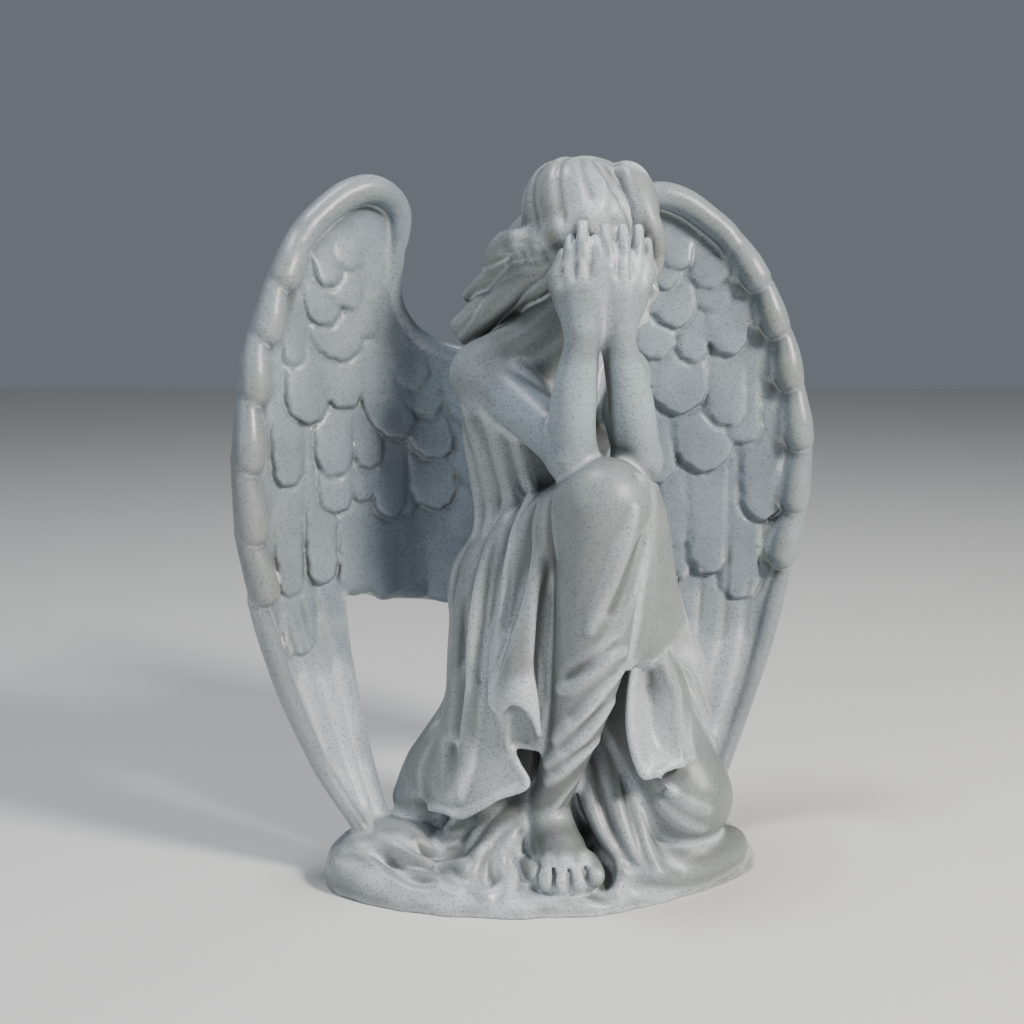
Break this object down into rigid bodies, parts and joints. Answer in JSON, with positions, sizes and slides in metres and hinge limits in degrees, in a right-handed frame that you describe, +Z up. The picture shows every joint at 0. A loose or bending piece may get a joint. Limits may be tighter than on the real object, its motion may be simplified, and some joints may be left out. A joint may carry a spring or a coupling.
{
  "type": "cemetery angel statue",
  "caption": "Kneeling draped angel hiding the face in both hands between two tall cupped feathered wings, cast in one piece with its low oval ground.",
  "frame": {"origin": "middle of the flat underside of the ground the figure kneels on", "axes": "+Z up; -Y to the front; the figure and its wings face 21 degrees from -Y towards +X"},
  "size_m": [0.2485, 0.1356, 0.3],
  "materials": {
    "cast_stone": "satin, moulded, pale blue-grey marble-resin composite with fine dark specks and brown tint in the recesses"
  },
  "bodies": {
    "root": {"angel_statue": "cast_stone"}
  },
  "joints": []
}
